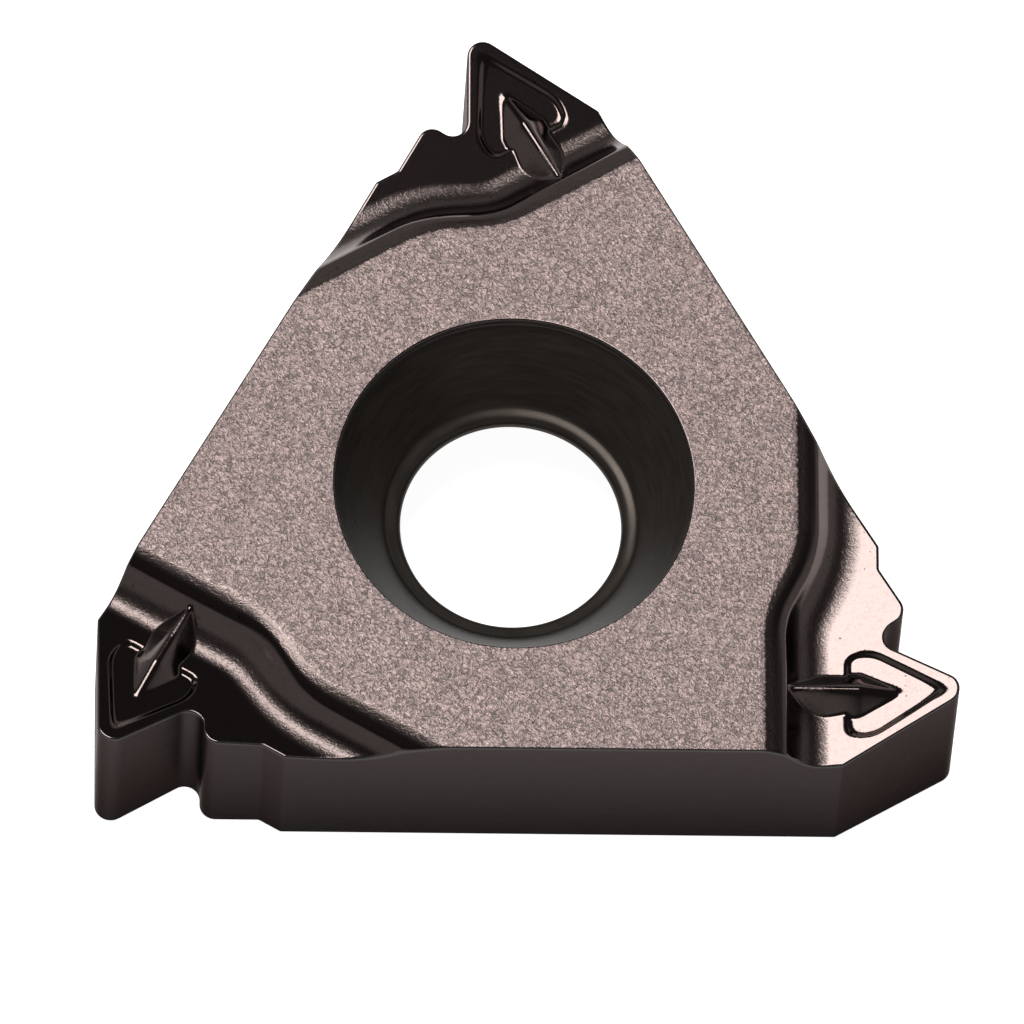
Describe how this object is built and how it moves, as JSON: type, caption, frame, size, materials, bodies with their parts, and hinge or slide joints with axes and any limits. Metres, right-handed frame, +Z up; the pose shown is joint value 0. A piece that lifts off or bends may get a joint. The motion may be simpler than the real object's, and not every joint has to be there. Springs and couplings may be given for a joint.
{
  "type": "threading insert",
  "caption": "Triangular carbide insert for cutting external screw threads, with a tooth and pressed chip former at each corner and a countersunk screw hole.",
  "frame": {"origin": "on the screw hole's axis, in the plane of the seat face", "axes": "+Z up along the screw hole through the top face, -Y out of one of the located sides"},
  "size_m": [0.0141, 0.0129, 0.0035],
  "materials": {
    "coated_carbide": "dark bronze hard coating, matte on the pressed top face and polished on the cutting corners"
  },
  "bodies": {
    "root": {"threading_insert": "coated_carbide"}
  },
  "joints": []
}
